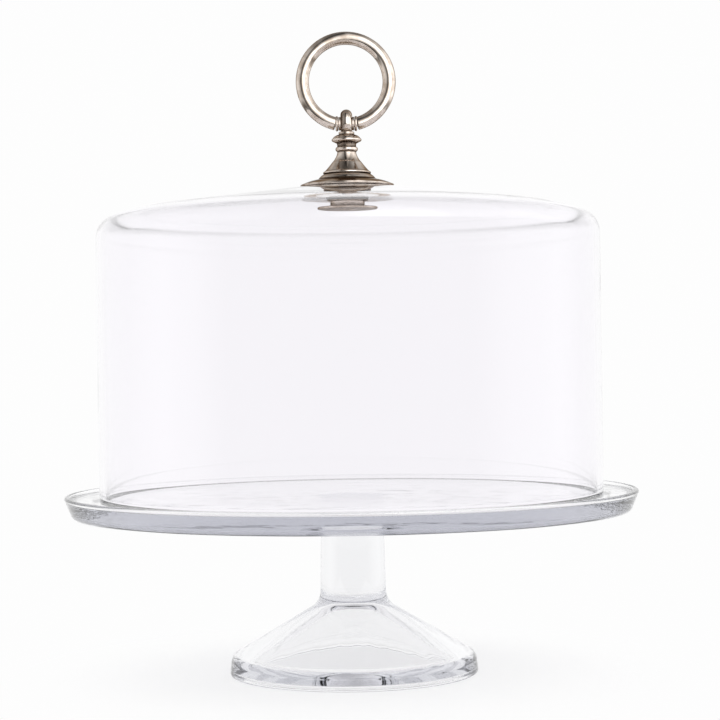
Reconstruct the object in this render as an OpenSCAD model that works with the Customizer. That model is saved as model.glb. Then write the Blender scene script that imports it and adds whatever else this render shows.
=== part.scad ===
// Footed glass cake stand with a lift-off glass dome and a ring handle.
// Millimetres, +Z up. The origin is the centre of the foot, on the surface that it stands on.

/* [Plate] */
// Diameter of the plate over its rim
plate_d = 330; // [270:1:400]
// Height of the top of the rim above the table
rim_z = 105.2; // [90:0.1:140]
// Height of the outside wall of the plate, from the underside's edge to the rim
plate_edge_h = 12.6; // [10:0.1:16]
// How far the lip stands above the serving surface
lip_h = 2; // [1:0.1:3.5]
// Thickness of the glass at the middle of the plate
plate_t = 7; // [5:0.1:8]

/* [Foot and stem] */
// Diameter of the foot
foot_d = 143.4; // [120:0.1:170]
// Height of the upright rim of the foot
foot_rim_h = 6.5; // [4:0.1:9]
// Slope of the cone of the foot, in degrees from level
foot_slope = 30.6; // [24:0.1:36]
// Diameter of the stem at its narrow top
stem_top_d = 36; // [28:0.1:44]
// Diameter of the stem above the foot
stem_base_d = 38; // [30:0.1:46]
// Thickness of the glass in the foot
foot_wall = 7; // [5:0.1:9]

/* [Dome] */
// Width of the ledge of plate left all round outside the dome
ledge_w = 19.85; // [14:0.05:30]
// Height of the upright wall of the dome, from the plate to the shoulder
dome_wall_h = 149.3; // [100:0.1:220]
// Thickness of the glass in the wall
dome_t = 3.5; // [2.5:0.1:5]
// Slope of the crown, in degrees from level
crown_slope = 7.8; // [4:0.1:12]
// Radius of the tight bend at the top of the wall
bend_r = 12; // [8:0.1:20]
// Radius of the wide curve between that bend and the crown
shoulder_r = 90; // [60:1:140]
// Diameter of the ground seat around the hole
seat_d = 28; // [24:0.1:34]
// Diameter of the hole in the crown
hole_d = 12; // [11:0.1:14]

/* [Finial] */
// Diameter of the flange disc
flange_d = 54.8; // [46:0.1:64]
// Diameter of the foot of the bell
bell_d = 27.8; // [24:0.1:32]
// Height of the bell
bell_h = 12.7; // [10:0.1:18]
// Diameter of the large bead
bead_d = 17.4; // [14:0.1:20]
// Diameter of the threaded shank of the post
shank_d = 8; // [6:0.1:9]
// Width of the eye across the pin
eye_w = 6.9; // [6:0.1:9]
// Diameter of the eye
eye_d = 14.8; // [12:0.1:17]

/* [Ring] */
// Outside diameter of the ring
ring_d = 58; // [46:0.1:70]
// Diameter of the bar of the ring
bar_d = 7.6; // [6:0.1:9]
// Diameter of each collar
collar_d = 8.8; // [8:0.1:9.4]
// Width of each collar
collar_w = 1.5; // [1:0.1:2]
// Diameter of the pivot pin
pin_d = 4; // [3:0.1:5]

/* [Clamp inside the dome] */
// Thickness of the gasket on each side of the glass
gasket_t = 1; // [0.8:0.1:1.5]
// Diameter of the clamp washer
washer_d = 23.6; // [20:0.1:26]
// Thickness of the clamp washer
washer_t = 1.2; // [1:0.1:2]
// Diameter of the flange of the nut
nut_d = 35; // [28:0.1:42]
// Thickness of the flange of the nut
nut_flange_t = 1.8; // [1.5:0.1:3]
// Diameter of the hub of the nut
hub_d = 20; // [16:0.1:23]
// Height of the nut, flange included
nut_h = 8; // [5:0.1:10]

/* [Hidden] */
$fn = 96;

pin_play = 0.05;      // running clearance of the pin in the eye, on the radius
snug = 0.02;          // clearance of what is pressed or screwed together, on the radius
slip = 0.1;           // clearance of the shank in what it only passes through
collar_gap = 0.15;    // side play between a collar and the eye
rim_gap = 0.3;        // the rim of the flange disc stops this far above the glass

clear = [0.92, 0.93, 0.96, 0.45];
nickel = [0.66, 0.62, 0.57];
soft = [0.88, 0.88, 0.86];

// Points of an arc about [cx, cz]; angles in degrees from the +r direction.
function arc(cx, cz, r, a0, a1, n) =
    [for (i = [0 : n]) let (a = a0 + (a1 - a0) * i / n) [cx + r * cos(a), cz + r * sin(a)]];

// Points of an arc from p to q that bows out by rise, to the left of the way from p to q.
function bow(p, q, rise, n) =
    let (chord = norm(q - p), along = (q - p) / chord, out = [-along[1], along[0]],
         r = (chord * chord / 4 + rise * rise) / (2 * rise), half = asin(chord / 2 / abs(r)),
         centre = (p + q) / 2 + out * (rise - r))
    [for (i = [0 : n]) let (a = half * (2 * i / n - 1))
        centre + out * r * cos(a) + along * abs(r) * sin(a)];

// ---- Plate ----
plate_r = plate_d / 2;
table_z = rim_z - lip_h;                 // serving surface, on which the dome stands
edge_z = rim_z - plate_edge_h;           // lowest ring of the underside
edge_round = 4;                          // rounding under the wall
wall_draft = 3.2;                        // how far the wall leans in on its way down
lip_round = 1.3;                         // half the thickness of the rounded top of the lip
lip_in_r = plate_r - 2 * lip_round;      // upright inner face of the lip
lip_fillet = 0.6;                        // where that face meets the serving surface
foot_ring_r = plate_r - 16;              // where the underside turns up towards the stem
under_z = table_z - plate_t;             // underside at the middle

module plate() {
    color(clear) rotate_extrude($fn = 180) polygon(concat(
        [[0, under_z], [foot_ring_r - 22, under_z], [foot_ring_r, edge_z]],
        arc(plate_r - wall_draft - edge_round, edge_z + edge_round, edge_round, -90, -12, 8),
        arc(plate_r - lip_round, rim_z - lip_round, lip_round, -10, 180, 10),
        [[lip_in_r, table_z + lip_fillet], [lip_in_r - lip_fillet, table_z], [0, table_z]]));
}

// ---- Pedestal ----
foot_r = foot_d / 2;
stem_join_z = under_z;                   // the stem's top is bonded to the plate's underside
foot_edge = 1.2;                         // rounding of the foot's lower edge
knee_r = 7;                              // rounding between the foot's rim and its cone
neck_r = 11;                             // hollow curve between the cone and the stem
knee_x = foot_r - 0.5 - knee_r;
knee_z = foot_rim_h;
cone_from = [knee_x + knee_r * sin(foot_slope), knee_z + knee_r * cos(foot_slope)];
stem_base_r = stem_base_d / 2;
neck_x = stem_base_r + neck_r;
cone_end_x = neck_x - neck_r * sin(foot_slope);
cone_end_z = cone_from[1] + (cone_from[0] - cone_end_x) * tan(foot_slope);
neck_z = cone_end_z + neck_r * cos(foot_slope);
flare_r = 8;                             // the stem spreads under the plate
hollow_r = foot_r - foot_wall;
hollow_top_r = 9;
hollow_slope = foot_slope;
hollow_rim_z = 2;
hollow_top_z = hollow_rim_z + (hollow_r - hollow_top_r) * tan(hollow_slope);

module pedestal() {
    color(clear) rotate_extrude($fn = 180) difference() {
        polygon(concat(
            [[0, 0]],
            arc(foot_r - foot_edge, foot_edge, foot_edge, -90, 0, 5),
            arc(knee_x, knee_z, knee_r, 0, 90 - foot_slope, 8),
            arc(neck_x, neck_z, neck_r, 270 - foot_slope, 180, 8),
            arc(stem_top_d / 2 + flare_r, stem_join_z - flare_r, flare_r, 180, 90, 6),
            [[0, stem_join_z]]));
        polygon([[0, -1], [hollow_r + 1, -1], [hollow_r, hollow_rim_z],
                 [hollow_top_r, hollow_top_z], [0, hollow_top_z + 1.5]]);
    }
}

// ---- Dome ----
dome_r = plate_r - ledge_w;
shoulder_z = table_z + dome_wall_h;      // top of the upright wall
bend_deg = 70;                           // how far round the tight bend goes
bend_x = dome_r - bend_r;
curve_x = bend_x - (shoulder_r - bend_r) * cos(bend_deg);
curve_z = shoulder_z - (shoulder_r - bend_r) * sin(bend_deg);
crown_x = curve_x + shoulder_r * sin(crown_slope);
crown_z = curve_z + shoulder_r * cos(crown_slope);
seat_r = seat_d / 2;
seat_z = crown_z + (crown_x - seat_r) * tan(crown_slope);
function crown_at(r) = seat_z - max(0, r - seat_r) * tan(crown_slope);

// The outside of the dome's section, from its wall to its seat.
dome_out = concat(
    arc(bend_x, shoulder_z, bend_r, 0, bend_deg, 12),
    arc(curve_x, curve_z, shoulder_r, bend_deg, 90 - crown_slope, 6),
    [[seat_r, seat_z], [0, seat_z]]);

// The inside, where the glass thins as it turns over into the crown.
crown_in_x = bend_x - dome_t + bend_r * sin(crown_slope);
crown_in_z = shoulder_z + bend_r * cos(crown_slope);
inner_z = crown_in_z + (crown_in_x - seat_r) * tan(crown_slope);   // underside of the seat
dome_in = concat(
    arc(bend_x - dome_t, shoulder_z, bend_r, 0, 90 - crown_slope, 14),
    [[seat_r, inner_z], [0, inner_z]]);

function reversed(list) = [for (i = [len(list) - 1 : -1 : 0]) list[i]];

module dome() {
    color(clear) difference() {
        rotate_extrude($fn = 180) polygon(concat(
            arc(dome_r - dome_t / 2, table_z + dome_t / 2, dome_t / 2, -180, 0, 10),
            dome_out, reversed(dome_in)));
        translate([0, 0, inner_z - 1]) cylinder(d = hole_d, h = seat_z - inner_z + 2);
    }
}

// ---- Finial ----
flange_seat_z = seat_z + gasket_t;
flange_r = flange_d / 2;
flange_h = 5;                            // height of the flange disc
bell_z = flange_seat_z + flange_h;
post_z = bell_z + bell_h;
hub_r = 17;                              // ridge between the hub and the thin disc
hub_z = flange_seat_z + 1.8;
hub_top_r = bell_d / 2 - 0.8;
ledge_r = bell_d / 2;
cove_r = 8.6;                            // where the body of the bell meets the hollow curve above it
cove_z = bell_z + 6.7;
bell_top_r = 5.5;
shank_r = shank_d / 2;
tip_z = crown_at(flange_r) + rim_gap;    // underside of the disc's rim

module turned_bore(z0, z1, r) {
    translate([0, 0, z0 - 1]) cylinder(r = r, h = z1 - z0 + 2);
}

module flange_disc() {
    color(nickel) difference() {
        rotate_extrude() polygon(concat(
            [[0, flange_seat_z], [seat_r, flange_seat_z], [flange_r - 1.2, tip_z],
             [flange_r - 0.1, tip_z + 0.3], [flange_r, tip_z + 0.7]],
            bow([flange_r - 0.3, tip_z + 1.1], [hub_r + 0.6, hub_z - 0.2], -0.4, 5),
            [[hub_r, hub_z]],
            bow([hub_r - 0.5, hub_z + 0.5], [hub_top_r, bell_z], -0.35, 4),
            [[0, bell_z]]));
        turned_bore(flange_seat_z, bell_z, shank_r + slip);
    }
}

module bell() {
    color(nickel) difference() {
        rotate_extrude() polygon(concat(
            [[0, bell_z], [ledge_r - 0.4, bell_z]],
            bow([ledge_r - 0.1, bell_z + 0.2], [ledge_r - 0.3, bell_z + 1.2], -0.2, 4),
            bow([ledge_r - 0.8, bell_z + 1.4], [cove_r, cove_z], 0.12, 5),
            bow([cove_r - 0.2, cove_z + 0.2], [bell_top_r, post_z - 0.5], 0.4, 6),
            [[bell_top_r, post_z], [0, post_z]]));
        turned_bore(bell_z, post_z, shank_r + slip);
    }
}

// ---- Post ----
bead_z = post_z + 7;                     // widest ring of the large bead
neck_top_z = post_z + 11.7;
pin_z = post_z + 16.5;                   // height of the pivot
eye_z = pin_z + 0.8;                     // centre of the eye
eye_r = eye_d / 2;
groove_r = 5.5;                          // under the small bead
waist_r = 5.55;                          // between the two beads
post_neck_r = 4.55;                      // between the large bead and the eye
boss_r = 3.9;
boss_w = 9.2;                            // width over the two side bosses
nut_z = inner_z - gasket_t - washer_t - nut_h;
shank_end_z = nut_z + 0.6;

module knob_post() {
    color(nickel) difference() {
        union() {
            rotate_extrude() polygon(concat(
                [[0, shank_end_z], [shank_r - 0.5, shank_end_z], [shank_r, shank_end_z + 0.5],
                 [shank_r, post_z], [groove_r, post_z]],
                bow([groove_r, post_z + 0.2], [waist_r, post_z + 3], -1, 6),
                bow([waist_r, post_z + 3], [waist_r + 0.3, bead_z - 1.9], 0.2, 4),
                bow([bead_d / 2 - 0.6, bead_z - 0.9], [bead_d / 2 - 0.5, bead_z + 0.8], -0.55, 6),
                bow([bead_d / 2 - 0.6, bead_z + 0.9], [post_neck_r, neck_top_z - 1.7], -0.5, 5),
                [[post_neck_r, neck_top_z - 0.3], [post_neck_r - 0.3, neck_top_z], [0, neck_top_z]]));
            translate([0, 0, eye_z]) rotate([0, 90, 0]) rotate_extrude() polygon(concat(
                [[0, -eye_w / 2]],
                arc(eye_r - eye_w / 2, 0, eye_w / 2, -90, 90, 12),
                [[0, eye_w / 2]]));
            translate([-boss_w / 2, 0, pin_z]) rotate([0, 90, 0]) cylinder(r = boss_r, h = boss_w);
        }
        translate([-eye_w, 0, pin_z]) rotate([0, 90, 0]) cylinder(r = pin_d / 2 + pin_play, h = 2 * eye_w);
    }
}

// ---- Ring ----
bar_r = bar_d / 2;
ring_r = ring_d / 2 - bar_r;             // radius of the bar's centre line
collar_x = boss_w / 2 + collar_gap;      // inner face of each collar
ring_end_x = collar_x + collar_w;        // the bar ends on the collar's outer face
ring_z = pin_z + sqrt(ring_r * ring_r - ring_end_x * ring_end_x);
pin_reach = 3.4;                         // depth of the pin in each end of the bar
pin_half = ring_end_x + pin_reach;

module ring() {
    color(nickel) difference() {
        translate([0, 0, ring_z]) rotate([90, 0, 0]) rotate_extrude($fn = 144)
            translate([ring_r, 0]) circle(r = bar_r, $fn = 48);
        translate([-ring_end_x, -bar_d, ring_z - ring_r - bar_d]) cube([2 * ring_end_x, 2 * bar_d, 2 * bar_d]);
        translate([-pin_half - 0.1, 0, pin_z]) rotate([0, 90, 0])
            cylinder(r = pin_d / 2 + snug, h = 2 * pin_half + 0.2);
    }
}

module ring_collars() {
    color(nickel) for (side = [0, 1]) mirror([side, 0, 0])
        translate([collar_x, 0, pin_z]) rotate([0, 90, 0]) difference() {
            rotate_extrude() polygon(concat(
                [[0, 0]], arc(collar_d / 2 - collar_w / 2, collar_w / 2, collar_w / 2, -90, 90, 8), [[0, collar_w]]));
            translate([0, 0, -1]) cylinder(r = pin_d / 2 + snug, h = collar_w + 2);
        }
}

module pivot_pin() {
    color(nickel) translate([-pin_half, 0, pin_z]) rotate([0, 90, 0]) cylinder(d = pin_d, h = 2 * pin_half);
}

// ---- Clamp ----
module washer(z, d, t, bore_r) {
    difference() {
        translate([0, 0, z]) cylinder(d = d, h = t);
        turned_bore(z, z + t, bore_r);
    }
}

module upper_gasket() { color(soft) washer(seat_z, seat_d - 1, gasket_t, shank_r + slip); }
module lower_gasket() { color(soft) washer(inner_z - gasket_t, washer_d + 1, gasket_t, shank_r + slip); }
module hole_bush() { color(soft) washer(inner_z, hole_d - 2 * slip, seat_z - inner_z, shank_r + slip); }
module clamp_washer() {
    color(nickel) washer(inner_z - gasket_t - washer_t, washer_d, washer_t, shank_r + slip);
}

module clamp_nut() {
    color(nickel) difference() {
        rotate_extrude() polygon([
            [0, nut_z], [nut_d / 2 - 0.5, nut_z], [nut_d / 2, nut_z + 0.5],
            [nut_d / 2, nut_z + nut_flange_t - 0.3], [nut_d / 2 - 0.3, nut_z + nut_flange_t],
            [hub_d / 2, nut_z + nut_flange_t], [hub_d / 2, nut_z + nut_h], [0, nut_z + nut_h]]);
        turned_bore(nut_z, nut_z + nut_h, shank_r + snug);
    }
}

plate();
pedestal();
dome();
upper_gasket();
hole_bush();
lower_gasket();
clamp_washer();
clamp_nut();
flange_disc();
bell();
knob_post();
ring();
ring_collars();
pivot_pin();
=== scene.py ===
import math

import bpy
from mathutils import Matrix, Vector, noise


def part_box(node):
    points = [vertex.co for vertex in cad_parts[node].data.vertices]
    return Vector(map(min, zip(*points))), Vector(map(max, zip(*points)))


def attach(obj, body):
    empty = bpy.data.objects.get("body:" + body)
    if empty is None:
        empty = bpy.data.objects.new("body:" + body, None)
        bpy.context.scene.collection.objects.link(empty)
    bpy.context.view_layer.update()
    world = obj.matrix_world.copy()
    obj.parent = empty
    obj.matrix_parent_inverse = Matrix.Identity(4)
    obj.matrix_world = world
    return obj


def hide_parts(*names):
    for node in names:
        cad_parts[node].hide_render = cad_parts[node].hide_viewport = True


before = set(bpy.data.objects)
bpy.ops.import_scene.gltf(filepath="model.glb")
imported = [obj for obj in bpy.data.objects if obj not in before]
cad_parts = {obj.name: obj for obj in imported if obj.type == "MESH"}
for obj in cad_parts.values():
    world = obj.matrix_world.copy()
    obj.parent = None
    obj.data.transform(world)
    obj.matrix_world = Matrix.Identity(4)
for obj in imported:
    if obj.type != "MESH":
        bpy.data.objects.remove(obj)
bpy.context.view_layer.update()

# Lengths in this script are millimetres, and angles are degrees, unless a name says otherwise.
MM = 0.001


def box_mm(node):
    low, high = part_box(node)
    return low / MM, high / MM


# ---- Sizes, read from the frame ----
plate_low, plate_high = box_mm("plate")
pedestal_low, pedestal_high = box_mm("pedestal")
dome_low, dome_high = box_mm("dome")
disc_low, disc_high = box_mm("flange_disc")
bell_low, bell_high = box_mm("bell")
post_low, post_high = box_mm("knob_post")
ring_low, ring_high = box_mm("ring")
collars_low, collars_high = box_mm("ring_collars")
pin_low, pin_high = box_mm("pivot_pin")
nut_low, nut_high = box_mm("clamp_nut")
gasket_low, gasket_high = box_mm("lower_gasket")

plate_r = plate_high.x
rim_z = plate_high.z
edge_z = plate_low.z
table_z = dome_low.z          # serving surface, on which the dome stands
under_z = pedestal_high.z     # underside of the plate at its middle
foot_r = pedestal_high.x
dome_r = dome_high.x
seat_z = dome_high.z          # flat around the hole in the crown
under_seat_z = gasket_high.z  # the same on the inside
pin_z = (pin_low.z + pin_high.z) / 2
pin_r = (pin_high.z - pin_low.z) / 2
hairline = 0.02               # glass and rubber that touch are drawn this far apart


# ---- Outlines ----
def arc(cx, cz, r, start, end, steps):
    """Points of an arc about (cx, cz)."""
    turns = [math.radians(start + (end - start) * i / steps) for i in range(steps + 1)]
    return [(cx + r * math.cos(a), cz + r * math.sin(a)) for a in turns]


def bow(p, q, rise, steps):
    """Points of an arc from p to q that bows out by rise, to the left of the way from p to q."""
    p, q = Vector(p), Vector(q)
    chord = (q - p).length
    along = (q - p) / chord
    out = Vector((-along.y, along.x))
    r = (chord * chord / 4 + rise * rise) / (2 * rise)
    half = math.asin(chord / 2 / abs(r))
    centre = (p + q) / 2 + out * (rise - r)
    swings = [half * (2 * i / steps - 1) for i in range(steps + 1)]
    return [tuple(centre + out * r * math.cos(a) + along * abs(r) * math.sin(a)) for a in swings]


def held(outline, closed):
    """The outline with a point close to each end of its long straight runs, so that they shade flat."""
    hold, long_run = 0.35, 1.5
    points = []
    pairs = zip(outline, outline[1:] + outline[:1]) if closed else zip(outline, outline[1:])
    for p, q in pairs:
        p, q = Vector(p), Vector(q)
        points.append(tuple(p))
        if (q - p).length > long_run:
            step = (q - p).normalized() * hold
            points += [tuple(p + step), tuple(q - step)]
    return points if closed else points + [outline[-1]]


def recess(outline, closed, reach=1.1, depth=0.3):
    """How deep each point lies under its neighbours, from 0 on a crown to 1 in a groove."""
    points = [Vector(p) for p in outline]
    count = len(points)
    area = sum(p.x * q.y - q.x * p.y for p, q in zip(points, points[1:] + points[:1]))
    side = 1 if area > 0 else -1

    def walk(i, way):
        here, left = points[i], reach
        while True:
            j = i + way
            if not closed and not 0 <= j < count:
                return here
            nxt = points[j % count]
            run = (nxt - here).length
            if run >= left:
                return here + (nxt - here) * (left / run)
            left, here, i = left - run, nxt, j % count

    found = []
    for i, p in enumerate(points):
        before, after = walk(i, -1), walk(i, 1)
        along = (after - before).normalized()
        out = Vector((along.y, -along.x)) * side
        found.append(min(1, max(0, ((before + after) / 2 - p).dot(out) / depth)))
    return found


# ---- Meshes ----
def finished(obj, sharp=32):
    """Smooth shading, with a crisp line where the surface turns by more than sharp degrees."""
    obj.data.shade_smooth()
    obj.data.set_sharp_from_angle(angle=math.radians(sharp))
    return obj


def mesh_piece(name, points, faces, grime=None):
    """A new piece from points in millimetres; grime is each point's share of patina."""
    mesh = bpy.data.meshes.new(name)
    mesh.from_pydata([Vector(p) * MM for p in points], [], faces)
    mesh.validate()
    if grime:
        values = mesh.attributes.new("grime", "FLOAT", "POINT")
        values.data.foreach_set("value", grime)
    obj = bpy.data.objects.new(name, mesh)
    bpy.context.scene.collection.objects.link(obj)
    return obj


def turned(name, outline, seams=(), across=False, centre=(0, 0, 0), around=256, ripple=None):
    """Turn an outline of (radius, height) about Z, or about X when across is true.

    The outline starts and ends on the axis, or else closes on itself. Seams are the heights
    at which another piece meets this one and grime gathers.
    """
    closed = outline[0][0] > 0 and outline[-1][0] > 0
    outline = held(outline, closed)
    grime = recess(outline, closed)
    for i, (r, z) in enumerate(outline):
        gathered = max([0] + [1 - abs(z - seam) / 0.7 for seam in seams])
        grime[i] = max(grime[i], gathered)
    points, shares, rows = [], [], []
    for (r, z), share in zip(outline, grime):
        if r < 1e-6:
            rows.append([len(points)])
            points.append((0, 0, z))
            shares.append(share)
            continue
        rows.append(range(len(points), len(points) + around))
        for k in range(around):
            a = 2 * math.pi * k / around
            points.append((r * math.cos(a), r * math.sin(a), z))
            shares.append(share)
    faces = []
    for low, high in zip(rows, rows[1:] + rows[:1] if closed else rows[1:]):
        for k in range(around):
            n = (k + 1) % around
            if len(low) == 1:
                faces.append((low[0], high[n], high[k]))
            elif len(high) == 1:
                faces.append((low[k], low[n], high[0]))
            else:
                faces.append((low[k], low[n], high[n], high[k]))
    if ripple:
        points = [ripple(Vector(p)) for p in points]
    if across:
        points = [(z, x, y) for x, y, z in points]
    points = [Vector(p) + Vector(centre) for p in points]
    obj = mesh_piece(name, points, faces, shares)
    outward(obj)
    return finished(obj)


def outward(obj):
    """Turn the mesh's faces so that they all look out."""
    volume = 0
    mesh = obj.data
    mesh.calc_loop_triangles()
    for tri in mesh.loop_triangles:
        a, b, c = (mesh.vertices[i].co for i in tri.vertices)
        volume += a.dot(b.cross(c))
    if volume < 0:
        mesh.flip_normals()


def cut(obj, others, operation):
    """Join the others to the object, or take them out of it, and apply the result."""
    for other in others:
        step = obj.modifiers.new(operation.lower(), "BOOLEAN")
        step.operation = operation
        step.solver = "EXACT"
        step.object = other
    baked = bpy.data.meshes.new_from_object(obj.evaluated_get(bpy.context.evaluated_depsgraph_get()))
    obj.modifiers.clear()
    obj.data = baked
    for other in others:
        bpy.data.objects.remove(other)
    return finished(obj)


# ---- Materials ----
def colour(code):
    """An sRGB hex colour as linear RGBA."""
    parts = [int(code[i:i + 2], 16) / 255 for i in (1, 3, 5)]
    return tuple(c / 12.92 if c <= 0.04045 else ((c + 0.055) / 1.055) ** 2.4 for c in parts) + (1,)


def add(tree, kind, feeds=None, **settings):
    """Add one shader node: settings are its properties, feeds its sockets, as values or links."""
    node = tree.nodes.new(kind)
    for key, value in settings.items():
        setattr(node, key, value)
    for key, value in (feeds or {}).items():
        if isinstance(value, bpy.types.Node):
            value = value.outputs[0]
        if isinstance(value, bpy.types.NodeSocket):
            tree.links.new(value, node.inputs[key])
        else:
            node.inputs[key].default_value = value
    return node


def new_tree(owner):
    owner.use_nodes = True
    owner.node_tree.nodes.clear()
    return owner.node_tree


GLASS_IOR = 1.52              # soda-lime glass


def glass(name, tint, shade, wave, wave_mm, loss):
    """Clear soda-lime glass: only its reflections, its edges and its slow waves are seen.

    It lets the lamps through, and its shadow is only as dark as shade. The loss is the share
    of red, green and blue light that a metre of it takes, as a rate, which greys a long way
    through the plate and leaves a thin wall clear.
    """
    material = bpy.data.materials.new(name)
    tree = new_tree(material)
    spot = add(tree, "ShaderNodeTexCoord").outputs["Object"]
    swell = add(tree, "ShaderNodeTexNoise", {"Vector": spot, "Scale": 1 / (wave_mm * MM), "Detail": 1.0})
    bump = add(tree, "ShaderNodeBump", {"Height": swell, "Strength": 1.0, "Distance": wave * MM})
    body = add(tree, "ShaderNodeBsdfPrincipled", {
        "Base Color": colour(tint), "Roughness": 0.0, "IOR": GLASS_IOR,
        "Transmission Weight": 1.0, "Normal": bump})
    through = add(tree, "ShaderNodeBsdfTransparent", {"Color": colour(shade)})
    path = add(tree, "ShaderNodeLightPath")
    mixed = add(tree, "ShaderNodeMixShader", {0: path.outputs["Is Shadow Ray"], 1: body, 2: through})
    most = max(loss)
    depth = add(tree, "ShaderNodeVolumeAbsorption", {
        "Color": tuple(1 - rate / most * 0.999 for rate in loss) + (1,), "Density": most / 0.999})
    add(tree, "ShaderNodeOutputMaterial", {"Surface": mixed, "Volume": depth})
    return material


def antique_nickel():
    """Polished nickel, antiqued: warm grey, bright on the crowns and brown-black in the grooves."""
    material = bpy.data.materials.new("antique_nickel")
    tree = new_tree(material)
    spot = add(tree, "ShaderNodeTexCoord").outputs["Object"]
    cloud = add(tree, "ShaderNodeTexNoise", {"Vector": spot, "Scale": 1 / (6 * MM), "Detail": 3.0})
    swell = add(tree, "ShaderNodeTexNoise", {"Vector": spot, "Scale": 1 / (7 * MM), "Detail": 0.0})
    grain = add(tree, "ShaderNodeTexNoise", {"Vector": spot, "Scale": 1 / (0.8 * MM), "Detail": 3.0})
    grime = add(tree, "ShaderNodeAttribute", attribute_name="grime").outputs["Fac"]
    rough_edge = add(tree, "ShaderNodeMath", {0: grain, 1: 0.5}, operation="ADD")
    ragged = add(tree, "ShaderNodeMath", {0: grime, 1: rough_edge}, operation="MULTIPLY")
    patina = add(tree, "ShaderNodeMapRange", {"Value": ragged, "From Min": 0.15, "From Max": 0.9, "To Max": 0.9})
    mottle = add(tree, "ShaderNodeMapRange", {"Value": cloud, "From Min": 0.42, "From Max": 0.62})
    plain = add(tree, "ShaderNodeMix", {
        "Factor": mottle, 6: colour("#d6cbc1"), 7: colour("#b6a89b")}, data_type="RGBA")
    tone = add(tree, "ShaderNodeMix", {
        "Factor": patina, 6: plain.outputs[2], 7: colour("#51453b")}, data_type="RGBA")
    polish = add(tree, "ShaderNodeMapRange", {"Value": cloud, "To Min": 0.05, "To Max": 0.12})
    gloss = add(tree, "ShaderNodeMix", {"Factor": patina, 2: polish.outputs[0], 3: 0.4})
    bump = add(tree, "ShaderNodeBump", {"Height": swell, "Strength": 1.0, "Distance": 0.05 * MM})
    body = add(tree, "ShaderNodeBsdfPrincipled", {
        "Base Color": tone.outputs[2], "Metallic": 1.0, "Roughness": gloss.outputs[0],
        "Specular Tint": colour("#8a7d72"), "Normal": bump})
    add(tree, "ShaderNodeOutputMaterial", {"Surface": body})
    return material


def clear_rubber():
    """Soft clear vinyl: milky, with a dull sheen."""
    material = bpy.data.materials.new("clear_rubber")
    tree = new_tree(material)
    spot = add(tree, "ShaderNodeTexCoord").outputs["Object"]
    haze = add(tree, "ShaderNodeTexNoise", {"Vector": spot, "Scale": 1 / (3 * MM), "Detail": 2.0})
    tone = add(tree, "ShaderNodeMix", {
        "Factor": haze, 6: colour("#e9e8e4"), 7: colour("#dddcd8")}, data_type="RGBA")
    body = add(tree, "ShaderNodeBsdfPrincipled", {
        "Base Color": tone.outputs[2], "Roughness": 0.45, "IOR": 1.5, "Transmission Weight": 0.35})
    add(tree, "ShaderNodeOutputMaterial", {"Surface": body})
    return material


pressed_glass = glass("pressed_glass", "#ffffff", "#fafafb", wave=0.03, wave_mm=16, loss=(2.1, 2.05, 1.7))
blown_glass = glass("blown_glass", "#fdfcfe", "#fdfdfd", wave=0.02, wave_mm=40, loss=(2.1, 2.05, 1.7))
nickel = antique_nickel()
rubber = clear_rubber()


def place(obj, body, slot, material, *nodes):
    """Give the piece its material, its body and the CAD nodes that it stands for."""
    obj.data.materials.clear()
    obj.data.materials.append(material)
    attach(obj, body)
    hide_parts(*nodes)
    return obj


# ---- Camera ----
CAMERA_BACK = 1128            # from the object's axis
CAMERA_HEIGHT = 179.4
AIM_RIGHT = 5.9               # the view's middle passes the axis this far to its right
TILT_UP = 0.065
LEAN = -0.85                  # the camera isn't quite upright

camera = bpy.data.objects.new("camera", bpy.data.cameras.new("camera"))
bpy.context.scene.collection.objects.link(camera)
camera.data.lens = 97.2
camera.data.sensor_width = 36
camera.data.clip_start = 0.01
turn_right = -math.atan(AIM_RIGHT / CAMERA_BACK)
camera.matrix_world = (
    Matrix.Translation((0, -CAMERA_BACK * MM, CAMERA_HEIGHT * MM))
    @ Matrix.Rotation(turn_right, 4, "Z")
    @ Matrix.Rotation(math.radians(90 + TILT_UP), 4, "X")
    @ Matrix.Rotation(math.radians(LEAN), 4, "Z"))
bpy.context.scene.camera = camera


# ---- Stand: the plate and its pedestal, bonded clear ----
foot_slope = 30.6             # of the cone of the foot, from level
foot_wall = 7


def stand_outline():
    foot_ring_r = plate_r - 16
    lip_round, fillet = 1.3, 0.6
    lip_in_r = plate_r - 2 * lip_round
    lip = (arc(lip_in_r - fillet, table_z + fillet, fillet, -90, 0, 8)
           + arc(plate_r - lip_round, rim_z - lip_round, lip_round, 180, -10, 24))
    corner = arc(plate_r - 7.2, edge_z + 4, 4, -12, -90, 20)
    flare = arc(18 + 3, under_z - 3, 3, 90, 180, 16)
    slope, neck_r, knee_r = foot_slope, 11, 7
    knee_x, knee_z = foot_r - 0.5 - knee_r, 6.5
    neck_x = 19 + neck_r
    lean = math.radians(slope)
    neck_z = (knee_z + knee_r * math.cos(lean) + neck_r * math.cos(lean)
              + (knee_x + knee_r * math.sin(lean) - neck_x + neck_r * math.sin(lean)) * math.tan(lean))
    neck = arc(neck_x, neck_z, neck_r, 180, 270 - slope, 24)
    knee = arc(knee_x, knee_z, knee_r, 90 - slope, 0, 20)
    sole = arc(foot_r - 1.2, 1.2, 1.2, 0, -90, 8)
    hollow_r, hollow_top_r = foot_r - foot_wall, 9
    hollow_top = 2 + (hollow_r - hollow_top_r) * math.tan(lean)
    hollow = [(hollow_r + 0.6, 0), (hollow_r, 0.6), (hollow_r, 1.6), (hollow_r - 0.4, 2.2)]
    dimple = bow((hollow_top_r, hollow_top), (0, hollow_top + 1.5), -0.3, 12)
    return ([(0, table_z)] + lip + corner
            + [(foot_ring_r, edge_z), (foot_ring_r - 22, under_z)] + flare + neck + knee + sole
            + hollow + dimple)


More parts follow.
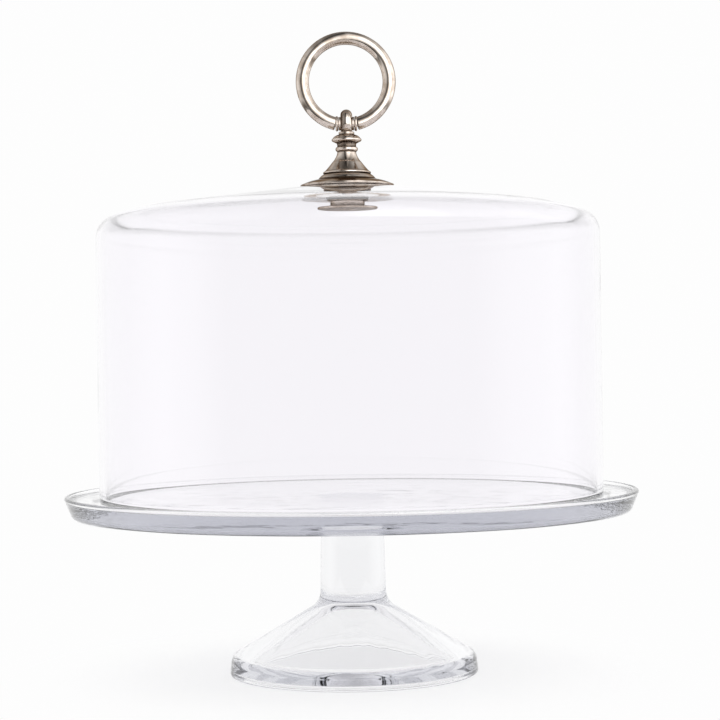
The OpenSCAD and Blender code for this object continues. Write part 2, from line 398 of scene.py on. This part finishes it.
def foot_waves(p):
    """Pressed glass is never quite even: the hollow under the foot has slow waves."""
    wave, wave_mm, hollow_top = 0.25, 9, 35
    r = math.hypot(p.x, p.y)
    fade_at_rim = min(1, max(0, (foot_r - foot_wall + 1 - r) / 3))
    fade_at_top = min(1, max(0, (hollow_top - p.z) / 4))
    under_skin = p.z < 5 + (foot_r - foot_wall - r) * math.tan(math.radians(foot_slope))
    if not under_skin or r < 12:
        return p
    return p + Vector((p.x, p.y, 0)) / r * wave * fade_at_rim * fade_at_top * noise.noise(p / wave_mm)


stand = turned("stand_glass", stand_outline(), around=360, ripple=foot_waves)
place(stand, "stand", "pressed_glass", pressed_glass, "plate", "pedestal")


# ---- Dome ----
def dome_outline():
    """An even wall that grows thinner as it turns over into the crown."""
    thick, bend_r, shoulder_r, bend, slope = 3.5, 12, 90, 70, 7.8
    seat_r, hole_r, wall_top = 14, 6, 252.5
    bend_x = dome_r - bend_r
    curve_x = bend_x - (shoulder_r - bend_r) * math.cos(math.radians(bend))
    curve_z = wall_top - (shoulder_r - bend_r) * math.sin(math.radians(bend))
    base = arc(dome_r - thick / 2, table_z + thick / 2, thick / 2, -180, 0, 24)
    outside = (arc(bend_x, wall_top, bend_r, 0, bend, 40)
               + arc(curve_x, curve_z, shoulder_r, bend, 90 - slope, 24)[1:]
               + [(seat_r, seat_z), (hole_r, seat_z)])
    crown_r = shoulder_r - (seat_z - under_seat_z) * math.cos(math.radians(slope))
    turn_r = 10.3             # radius of the bend on the inside
    turn_x = dome_r - thick - turn_r
    turn_rise = math.sqrt((crown_r - turn_r) ** 2 - (turn_x - curve_x) ** 2)
    turn = math.degrees(math.atan2(turn_rise, turn_x - curve_x))
    inside = (arc(turn_x, curve_z + turn_rise, turn_r, 0, turn, 44)
              + arc(curve_x, curve_z, crown_r, turn, 90 - slope, 24)[1:]
              + [(seat_r, under_seat_z), (hole_r, under_seat_z)])
    return base + outside + inside[::-1]


dome = turned("dome_glass", dome_outline(), around=360)
place(dome, "dome_assembly", "blown_glass", blown_glass, "dome")


# ---- Clamp through the crown ----
post_shank_r = 4


def pad(name, node, rounding, slot, material, gap=0.0):
    """A round pad with a bore and rounded edges, where the node is."""
    low, high = box_mm(node)
    outer, bore = high.x - gap, post_shank_r + 0.1 + gap
    z0, z1, r = low.z + gap, high.z - gap, rounding
    outline = (arc(outer - r, z0 + r, r, -90, 0, 6) + arc(outer - r, z1 - r, r, 0, 90, 6)
               + arc(bore + r, z1 - r, r, 90, 180, 6) + arc(bore + r, z0 + r, r, 180, 270, 6))
    return place(turned(name, outline, around=160), "dome_assembly", slot, material, node)


pad("upper_gasket_pad", "upper_gasket", 0.3, "clear_rubber", rubber, hairline)
pad("hole_bush_sleeve", "hole_bush", 0.2, "clear_rubber", rubber, hairline)
pad("lower_gasket_pad", "lower_gasket", 0.3, "clear_rubber", rubber, hairline)
pad("clamp_washer_disc", "clamp_washer", 0.25, "antique_nickel", nickel)

nut_z, nut_r, hub_r = nut_low.z, nut_high.x, 10
nut_outline = ([(post_shank_r + 0.02, nut_z + 0.3), (post_shank_r + 0.4, nut_z)]
               + arc(nut_r - 0.7, nut_z + 0.7, 0.7, -90, 0, 6)
               + arc(nut_r - 0.7, nut_z + 1.1, 0.7, 0, 90, 6)
               + arc(hub_r + 0.6, nut_z + 2.4, 0.6, 270, 180, 6)
               + [(hub_r, nut_high.z - 0.4), (hub_r - 0.4, nut_high.z), (post_shank_r + 0.02, nut_high.z)])
place(turned("clamp_nut_cap", nut_outline), "dome_assembly", "antique_nickel", nickel, "clamp_nut")


# ---- Finial ----
disc_r, tip_z, bell_z, bell_r = disc_high.x, disc_low.z, bell_low.z, bell_high.x
seat_up = bell_z - 5
post_z = bell_high.z


def disc_outline():
    hub_ridge, hub_z = 17, seat_up + 1.8
    bore = post_shank_r + 0.1
    return ([(bore, seat_up), (14, seat_up), (disc_r - 1.2, tip_z), (disc_r - 0.3, tip_z + 0.15)]
            + bow((disc_r, tip_z + 0.5), (disc_r - 0.3, tip_z + 1.1), 0.12, 6)[:-1]
            + bow((disc_r - 0.3, tip_z + 1.1), (hub_ridge + 0.6, hub_z - 0.2), -0.4, 16)
            + [(hub_ridge, hub_z)]
            + bow((hub_ridge - 0.5, hub_z + 0.5), (bell_r - 0.8, bell_z), -0.35, 12)
            + [(bore, bell_z)])


def bell_outline():
    cove_r, cove_z, top_r, bore = 8.6, bell_z + 6.7, 5.5, post_shank_r + 0.1
    return ([(bore, bell_z), (bell_r - 0.4, bell_z)]
            + bow((bell_r - 0.1, bell_z + 0.2), (bell_r - 0.3, bell_z + 1.2), -0.2, 10)
            + bow((bell_r - 0.8, bell_z + 1.4), (cove_r, cove_z), 0.12, 16)
            + bow((cove_r - 0.2, cove_z + 0.2), (top_r, post_z - 0.5), 0.4, 16)
            + [(top_r, post_z), (bore, post_z)])


def post_outline():
    bead_r, bead_z, neck_top = 8.7, post_z + 7, post_z + 11.7
    groove_r, waist_r, neck_r, end_z = 5.5, 5.55, 4.55, post_low.z
    return ([(0, end_z), (post_shank_r - 0.5, end_z), (post_shank_r, end_z + 0.5),
             (post_shank_r, post_z), (groove_r, post_z)]
            + bow((groove_r, post_z + 0.2), (waist_r, post_z + 3), -1, 20)
            + bow((waist_r, post_z + 3), (waist_r + 0.3, bead_z - 1.9), 0.2, 10)
            + bow((bead_r - 0.6, bead_z - 0.9), (bead_r - 0.5, bead_z + 0.8), -0.55, 20)
            + bow((bead_r - 0.6, bead_z + 0.9), (neck_r, neck_top - 1.7), -0.5, 16)
            + [(neck_r, neck_top - 0.3), (neck_r - 0.3, neck_top), (0, neck_top)])


disc = turned("flange_disc_turned", disc_outline(), seams=[bell_z])
place(disc, "dome_assembly", "antique_nickel", nickel, "flange_disc")
bell = turned("bell_turned", bell_outline(), seams=[bell_z, post_z])
place(bell, "dome_assembly", "antique_nickel", nickel, "bell")

eye_w, boss_w = 6.9, 9.2
eye_r = post_high.z - pin_z - 0.8
post = turned("knob_post_turned", post_outline(), seams=[post_z])
eye = turned("eye", [(0, -eye_w / 2)] + arc(eye_r - eye_w / 2, 0, eye_w / 2, -90, 90, 40)
             + [(0, eye_w / 2)], across=True, centre=(0, 0, pin_z + 0.8), around=160)
bosses = turned("bosses", [(0, -boss_w / 2), (3.7, -boss_w / 2), (3.9, -boss_w / 2 + 0.2),
                           (3.9, boss_w / 2 - 0.2), (3.7, boss_w / 2), (0, boss_w / 2)],
                across=True, centre=(0, 0, pin_z), around=160)
cut(post, [eye, bosses], "UNION")
bore = turned("bore", [(0, -eye_w), (pin_r + 0.05, -eye_w), (pin_r + 0.05, eye_w), (0, eye_w)],
              across=True, centre=(0, 0, pin_z), around=96)
cut(post, [bore], "DIFFERENCE")
place(post, "dome_assembly", "antique_nickel", nickel, "knob_post")


# ---- Ring handle ----
def ring_piece():
    """A round bar bent to a ring that stays open between the collars."""
    bar_r = ring_high.y
    bend_r = (ring_high.x - ring_low.x) / 2 - bar_r
    end_x = collars_high.x
    centre_z = ring_high.z - bar_r - bend_r
    gap = math.asin(end_x / bend_r)
    stations, around, edge = 300, 64, 0.3
    points, faces, grime = [], [], []
    rows = [(gap, 0.0), (gap, bar_r - edge), (gap + edge * 0.3 / bend_r, bar_r - edge * 0.3)]
    rows += [(gap + edge / bend_r + (2 * math.pi - 2 * gap - 2 * edge / bend_r) * i / stations, bar_r)
             for i in range(stations + 1)]
    rows += [(2 * math.pi - a, r) for a, r in reversed(rows[:3])]
    for a, r in rows:
        middle = Vector((math.sin(a) * bend_r, 0, centre_z - math.cos(a) * bend_r))
        out = Vector((math.sin(a), 0, -math.cos(a)))
        from_end = (min(a, 2 * math.pi - a) - gap) * bend_r
        for k in range(around):
            t = 2 * math.pi * k / around
            points.append(middle + out * (r * math.cos(t)) + Vector((0, r * math.sin(t), 0)))
            grime.append(max(0.0, 1 - from_end / 0.9))
    for i in range(1, len(rows) - 2):
        for k in range(around):
            n = (k + 1) % around
            row = i * around
            faces.append((row + k, row + n, row + around + n, row + around + k))
    last = (len(rows) - 2) * around
    faces.append(tuple(reversed(range(around, 2 * around))))
    faces.append(tuple(range(last, last + around)))
    keep = range(around, last + around)
    points = [points[i] for i in keep]
    grime = [grime[i] for i in keep]
    faces = [tuple(i - around for i in face) for face in faces]
    obj = mesh_piece("ring_bar", points, faces, grime)
    outward(obj)
    return finished(obj)


place(ring_piece(), "ring_handle", "antique_nickel", nickel, "ring")

collar_r = collars_high.y
collar_in, collar_out = boss_w / 2 + 0.15, collars_high.x
collar_w = collar_out - collar_in
collar_outline = ([(pin_r + 0.02, 0)] + arc(collar_r - collar_w / 2, collar_w / 2, collar_w / 2, -90, 90, 20)
                  + [(pin_r + 0.02, collar_w)])
right = turned("ring_collars_pair", collar_outline, across=True, centre=(collar_in, 0, pin_z), around=160)
left = turned("left", collar_outline, across=True, centre=(-collar_out, 0, pin_z), around=160)
cut(right, [left], "UNION")
place(right, "ring_handle", "antique_nickel", nickel, "ring_collars")

pin_half = pin_high.x
pin_outline = [(0, -pin_half), (pin_r - 0.3, -pin_half), (pin_r, -pin_half + 0.3),
               (pin_r, pin_half - 0.3), (pin_r - 0.3, pin_half), (0, pin_half)]
pin = turned("pivot_pin_turned", pin_outline, across=True, centre=(0, 0, pin_z), around=96)
place(pin, "ring_handle", "antique_nickel", nickel, "pivot_pin")


# ---- Studio ----
def ramp(tree, value, low, high, stops):
    """A level that follows value along the stops, from low to high."""
    share = add(tree, "ShaderNodeMapRange", {"Value": value, "From Min": low, "From Max": high})
    scale = add(tree, "ShaderNodeValToRGB", {0: share})
    elements = scale.color_ramp.elements
    for i, (at, level) in enumerate(stops):
        spot = elements[i] if i < 2 else elements.new(1.0)
        spot.position = (at - low) / (high - low)
        spot.color = (level, level, level, 1)
    return scale


BACKDROP = 0.985              # level of the white backdrop, and of the table away from the foot
AMBIENT = 0.5                 # even light on matt surfaces, which the two lamps bring up to about 1

# Light that polished metal and glass reflect, by bearing from the front, clockwise seen from above.
SOFTBOXES = [(-180, 1.0), (-105, 1.1), (-80, 1.1), (-60, 0.85), (-42, 0.7), (-32, 0.2), (-18, 0.2),
             (-8, 0.6), (4, 2.4), (14, 3.4), (38, 3.4), (50, 1.7), (80, 1.8), (92, 2.1), (112, 1.5), (180, 1.0)]
# The same for a ray that leaves clear glass level with the ground after a reflection, where the boxes aren't.
LEVEL_VIEW = [(-180, 1.0), (-115, 1.0), (-90, 1.4), (-72, 1.1), (-55, 0.35), (0, 0.25), (55, 0.35),
              (75, 1.1), (105, 1.4), (125, 1.0), (180, 1.0)]
# How much of those is left at each height above the horizon, with the dark gap under the boxes.
HEIGHTS = [(-90, 0.5), (-42, 1.0), (-30, 0.5), (-24, 0.2), (-17, 0.5), (-11, 1.0), (30, 1.0), (45, 0.6),
           (65, 0.3), (80, 0.12), (90, 0.1)]
# What shows through the glass: the white backdrop all round, and less light higher up.
THROUGH = [(-90, 0.95), (-30, 1.0), (25, 1.0), (45, 0.8), (65, 0.6), (80, 0.5), (90, 0.5)]


def light_the_studio():
    world = bpy.data.worlds.new("studio")
    world.cycles.sampling_method = "NONE"     # its levels depend on the kind of ray
    bpy.context.scene.world = world
    tree = new_tree(world)
    look = add(tree, "ShaderNodeTexCoord").outputs["Generated"]
    split = add(tree, "ShaderNodeSeparateXYZ", {0: look})
    forward = add(tree, "ShaderNodeMath", {0: split.outputs[1], 1: -1.0}, operation="MULTIPLY")
    turn = add(tree, "ShaderNodeMath", {0: split.outputs[0], 1: forward}, operation="ARCTAN2")
    bearing = add(tree, "ShaderNodeMath", {0: turn}, operation="DEGREES")
    rise = add(tree, "ShaderNodeMath", {0: split.outputs[2]}, operation="ARCSINE")
    height = add(tree, "ShaderNodeMath", {0: rise}, operation="DEGREES")
    path = add(tree, "ShaderNodeLightPath")
    boxes = ramp(tree, bearing, -180, 180, SOFTBOXES)
    level = ramp(tree, bearing, -180, 180, LEVEL_VIEW)
    below = add(tree, "ShaderNodeMapRange", {"Value": height, "From Min": 14.0, "From Max": 7.0})
    plain = add(tree, "ShaderNodeMath", {0: below, 1: path.outputs["Is Singular Ray"]}, operation="MULTIPLY")
    around = add(tree, "ShaderNodeMix", {"Factor": plain, 6: boxes, 7: level}, data_type="RGBA")
    fade = ramp(tree, height, -90, 90, HEIGHTS)
    studio = add(tree, "ShaderNodeMix", {"Factor": 1.0, 6: around.outputs[2], 7: fade},
                 data_type="RGBA", blend_type="MULTIPLY")
    beyond = ramp(tree, height, -90, 90, THROUGH)
    again = add(tree, "ShaderNodeMath", {0: path.outputs["Glossy Depth"], 1: 1.5}, operation="GREATER_THAN")
    dim = add(tree, "ShaderNodeMath", {0: again, 1: path.outputs["Is Transmission Ray"]}, operation="MAXIMUM")
    either = add(tree, "ShaderNodeMix", {"Factor": dim, 6: studio.outputs[2], 7: beyond}, data_type="RGBA")
    seen = add(tree, "ShaderNodeBackground", {"Color": either.outputs[2], "Strength": 1.0})
    ambient = add(tree, "ShaderNodeBackground", {"Color": (1, 1, 1, 1), "Strength": AMBIENT})
    backdrop = add(tree, "ShaderNodeBackground", {"Color": (1, 1, 1, 1), "Strength": BACKDROP})
    scattered = add(tree, "ShaderNodeMath", {0: path.outputs["Diffuse Depth"], 1: 0.5}, operation="GREATER_THAN")
    soft = add(tree, "ShaderNodeMixShader", {0: scattered, 1: seen, 2: ambient})
    last = add(tree, "ShaderNodeMixShader", {0: path.outputs["Is Camera Ray"], 1: soft, 2: backdrop})
    add(tree, "ShaderNodeOutputWorld", {"Surface": last})


def lamp(name, where, size, watts):
    """A soft square lamp that looks at the middle of the object and isn't itself seen."""
    data = bpy.data.lights.new(name, "AREA")
    data.size, data.energy = size, watts
    obj = bpy.data.objects.new(name, data)
    bpy.context.scene.collection.objects.link(obj)
    obj.location = where
    obj.rotation_euler = (Vector((0, 0, 0.1)) - Vector(where)).to_track_quat("-Z", "Y").to_euler()
    obj.visible_glossy = obj.visible_transmission = obj.visible_camera = False


def lay_the_floor():
    """A white table that keeps the soft shadow at the foot and is plain white further out."""
    half = 0.6
    mesh = bpy.data.meshes.new("floor")
    drop = -0.1 * MM
    mesh.from_pydata([(-half, -half, drop), (half, -half, drop), (half, half, drop), (-half, half, drop)],
                     [], [(0, 1, 2, 3)])
    floor = bpy.data.objects.new("floor", mesh)
    bpy.context.scene.collection.objects.link(floor)
    material = bpy.data.materials.new("white_table")
    tree = new_tree(material)
    spot = add(tree, "ShaderNodeTexCoord").outputs["Object"]
    away = add(tree, "ShaderNodeVectorMath", {0: spot}, operation="LENGTH")
    far = add(tree, "ShaderNodeMapRange", {"Value": away.outputs["Value"], "From Min": 0.08,
                                           "From Max": 0.2, "To Min": 0.5}, interpolation_type="SMOOTHSTEP")
    near = add(tree, "ShaderNodeBsdfDiffuse", {"Color": colour("#fbfbfb")})
    glow = add(tree, "ShaderNodeEmission", {"Color": (1, 1, 1, 1), "Strength": BACKDROP})
    top = add(tree, "ShaderNodeMixShader", {0: far, 1: near, 2: glow})
    add(tree, "ShaderNodeOutputMaterial", {"Surface": top})
    mesh.materials.append(material)


light_the_studio()
lay_the_floor()
lamp("key", (0.9, -1.1, 1.5), 1.2, 15)
lamp("overhead", (-0.3, 0.3, 1.8), 1.4, 15)

scene = bpy.context.scene
scene.view_settings.view_transform = "Standard"
scene.cycles.max_bounces = 32
scene.cycles.transmission_bounces = 28
scene.cycles.glossy_bounces = 16
scene.cycles.transparent_max_bounces = 32
